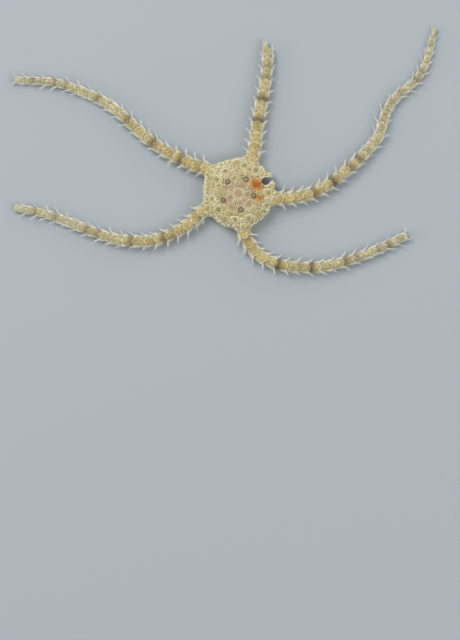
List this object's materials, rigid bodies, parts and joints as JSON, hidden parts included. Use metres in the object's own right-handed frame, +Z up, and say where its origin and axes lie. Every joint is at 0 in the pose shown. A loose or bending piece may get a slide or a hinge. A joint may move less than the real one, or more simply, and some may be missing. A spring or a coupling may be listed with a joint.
{
  "type": "brittle star",
  "caption": "Brittle star lying flat on its mouth side: a plated disc with jaws below and long spiny jointed arms in loose curves, as a still life-size model.",
  "frame": {"origin": "the middle of the footprint on the floor under the star; the disc's centre is 2.6 mm to the +X side and 8.9 mm to the -Y side of it", "axes": "+Z up out of the disc's upper side; +X along the spread of the two longest pairs of arms; +Y towards the short arm at the top of the picture"},
  "size_m": [0.0912, 0.0536, 0.0044],
  "materials": {
    "disc_plates": "dull chalky plates, beige in the middle and olive cream outside",
    "arm_plates": "satin golden tan plates with darker brown bands and whitish sides",
    "jaws": "dull ivory, reddish brown in the slits between them"
  },
  "bodies": {
    "root": {"disc": "disc_plates", "jaw_1": "jaws", "jaw_2": "jaws", "jaw_3": "jaws", "jaw_4": "jaws", "jaw_5": "jaws", "arm_1_length_1": "arm_plates", "arm_1_length_2": "arm_plates", "arm_1_length_3": "arm_plates", "arm_2_length_1": "arm_plates", "arm_2_length_2": "arm_plates", "arm_2_length_3": "arm_plates", "arm_2_length_4": "arm_plates", "arm_2_length_5": "arm_plates", "arm_2_length_6": "arm_plates", "arm_3_length_1": "arm_plates", "arm_3_length_2": "arm_plates", "arm_3_length_3": "arm_plates", "arm_3_length_4": "arm_plates", "arm_3_length_5": "arm_plates", "arm_4_length_1": "arm_plates", "arm_4_length_2": "arm_plates", "arm_4_length_3": "arm_plates", "arm_4_length_4": "arm_plates", "arm_4_length_5": "arm_plates", "arm_5_length_1": "arm_plates", "arm_5_length_2": "arm_plates", "arm_5_length_3": "arm_plates", "arm_5_length_4": "arm_plates", "arm_5_length_5": "arm_plates"}
  },
  "joints": []
}
